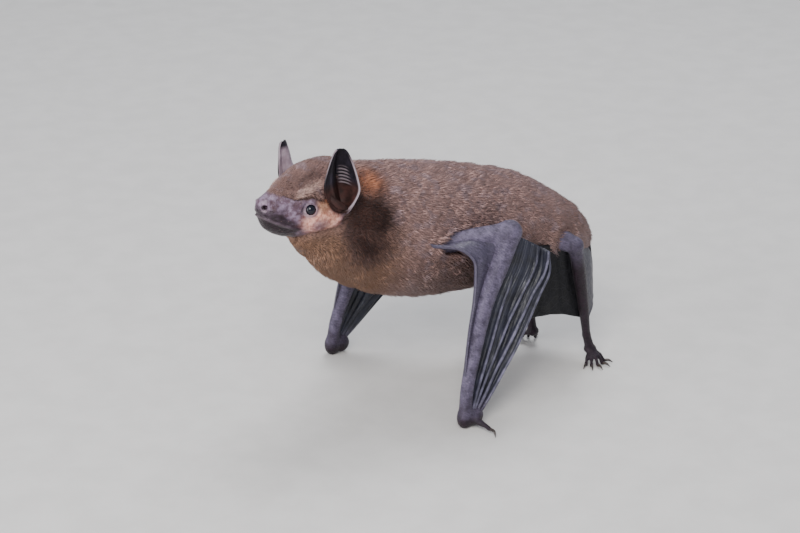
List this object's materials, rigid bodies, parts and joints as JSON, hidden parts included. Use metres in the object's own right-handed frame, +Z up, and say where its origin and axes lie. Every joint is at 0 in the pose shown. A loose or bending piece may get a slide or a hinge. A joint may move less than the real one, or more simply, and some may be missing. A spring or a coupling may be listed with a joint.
{
  "type": "insect-eating bat",
  "caption": "Life-size standing bat with furred body, plain muzzle, ribbed upright ears and folded wings that it props itself on, feet and claws to the floor.",
  "frame": {"origin": "on the floor, under the middle of the model's box", "axes": "+Z up, -X the way the bat faces, +X towards its tail, -Y its left side"},
  "size_m": [0.0913, 0.0672, 0.0658],
  "materials": {
    "fur": "matte",
    "face": "satin",
    "ear": "satin",
    "wing": "satin",
    "web": "satin",
    "eye": "gloss",
    "claw": "satin"
  },
  "bodies": {
    "root": {"lower_jaw": "face", "nose": "face", "head": "fur", "eye_left": "eye", "ear_left": "ear", "tragus_left": "face", "eye_right": "eye", "ear_right": "ear", "tragus_right": "face", "neck": "fur", "trunk": "fur", "tail_membrane": "wing", "tail": "wing", "upper_arm_left": "wing", "forearm_left": "wing", "hand_left": "wing", "thumb_left": "wing", "thumb_claw_left": "claw", "finger_5_left": "wing", "finger_4_left": "wing", "finger_3_left": "wing", "finger_2_left": "wing", "hand_membrane_left": "web", "arm_membrane_left": "wing", "thigh_left": "wing", "shin_left": "wing", "foot_left": "wing", "toe_claw_1_left": "claw", "toe_claw_2_left": "claw", "toe_claw_3_left": "claw", "toe_claw_4_left": "claw", "toe_claw_5_left": "claw", "side_membrane_left": "web", "upper_arm_right": "wing", "forearm_right": "wing", "hand_right": "wing", "thumb_right": "wing", "thumb_claw_right": "claw", "finger_5_right": "wing", "finger_4_right": "wing", "finger_3_right": "wing", "finger_2_right": "wing", "hand_membrane_right": "web", "arm_membrane_right": "wing", "thigh_right": "wing", "shin_right": "wing", "foot_right": "wing", "toe_claw_1_right": "claw", "toe_claw_2_right": "claw", "toe_claw_3_right": "claw", "toe_claw_4_right": "claw", "toe_claw_5_right": "claw", "side_membrane_right": "web"}
  },
  "joints": []
}
